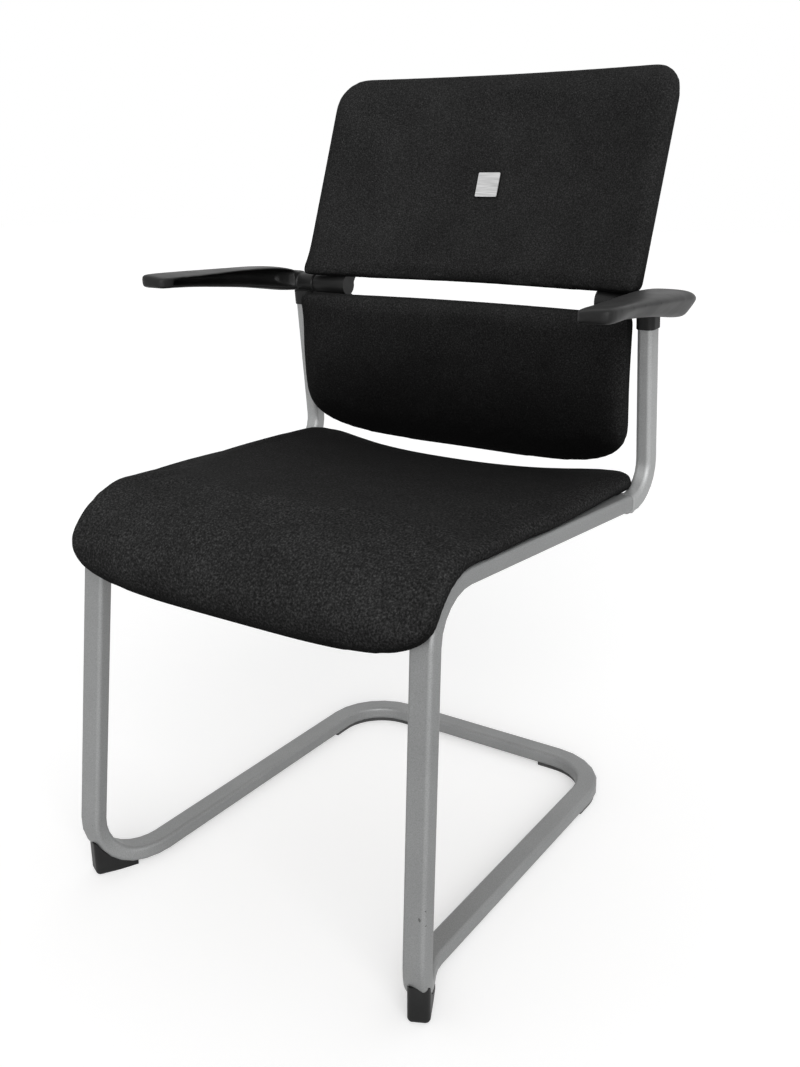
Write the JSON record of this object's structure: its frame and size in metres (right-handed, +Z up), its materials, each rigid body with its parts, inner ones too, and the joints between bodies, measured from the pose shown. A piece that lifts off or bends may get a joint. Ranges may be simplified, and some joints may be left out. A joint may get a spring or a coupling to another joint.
{
  "type": "cantilever visitor chair",
  "caption": "Cantilever visitor chair: bent steel tube frame, waterfall seat, armrests and a split back whose upper and lower pads pivot on one line.",
  "frame": {"origin": "centre of the footprint's bounding box, on the floor", "axes": "+Z up, the chair faces -Y, +X is to the right of someone who looks at its front"},
  "size_m": [0.6282, 0.6133, 0.932],
  "materials": {
    "powder_coat": "satin silver grey powder coat",
    "seat_fabric": "matt black woven cloth",
    "black_nylon": "fine grained black moulding",
    "plywood": "moulded beech plywood, unpainted",
    "black_shell": "smooth black moulded shell",
    "zinc_steel": "zinc plated",
    "bush_rubber": "matt rubber",
    "tag_metal": "bare satin"
  },
  "bodies": {
    "frame": {"cantilever_frame": "powder_coat", "upright_left": "powder_coat", "upright_right": "powder_coat", "seat_brackets": "powder_coat", "seat_pan": "plywood", "seat_cushion": "seat_fabric", "seat_screws": "zinc_steel", "front_glide_left": "black_nylon", "front_glide_right": "black_nylon", "rear_glide_left": "black_nylon", "rear_glide_right": "black_nylon", "arm_sleeve_left": "black_nylon", "arm_sleeve_right": "black_nylon", "armrest_left": "black_nylon", "armrest_right": "black_nylon", "pivot_pin_left": "zinc_steel", "pivot_pin_right": "zinc_steel", "torsion_bush_left": "bush_rubber", "torsion_bush_right": "bush_rubber"},
    "upper_back": {"upper_hinge_left": "black_nylon", "upper_hinge_right": "black_nylon", "upper_back_shell": "black_shell", "upper_back_cushion": "seat_fabric", "back_tag": "tag_metal", "upper_back_screws": "zinc_steel"},
    "lower_back": {"lower_hinge_left": "black_nylon", "lower_hinge_right": "black_nylon", "lower_back_shell": "black_shell", "lower_back_cushion": "seat_fabric", "lower_back_screws": "zinc_steel"}
  },
  "joints": [
    {"name": "upper_back_recline", "type": "hinge", "parent": "frame", "child": "upper_back", "pos_m": [0, 0.17766, 0.669], "axis": [-1, 0, 0], "range_deg": [0, 15], "stiffness_Nm_per_rad": 120},
    {"name": "lower_back_tilt", "type": "hinge", "parent": "frame", "child": "lower_back", "pos_m": [0, 0.17766, 0.669], "axis": [-1, 0, 0], "range_deg": [-6, 4], "stiffness_Nm_per_rad": 60}
  ]
}
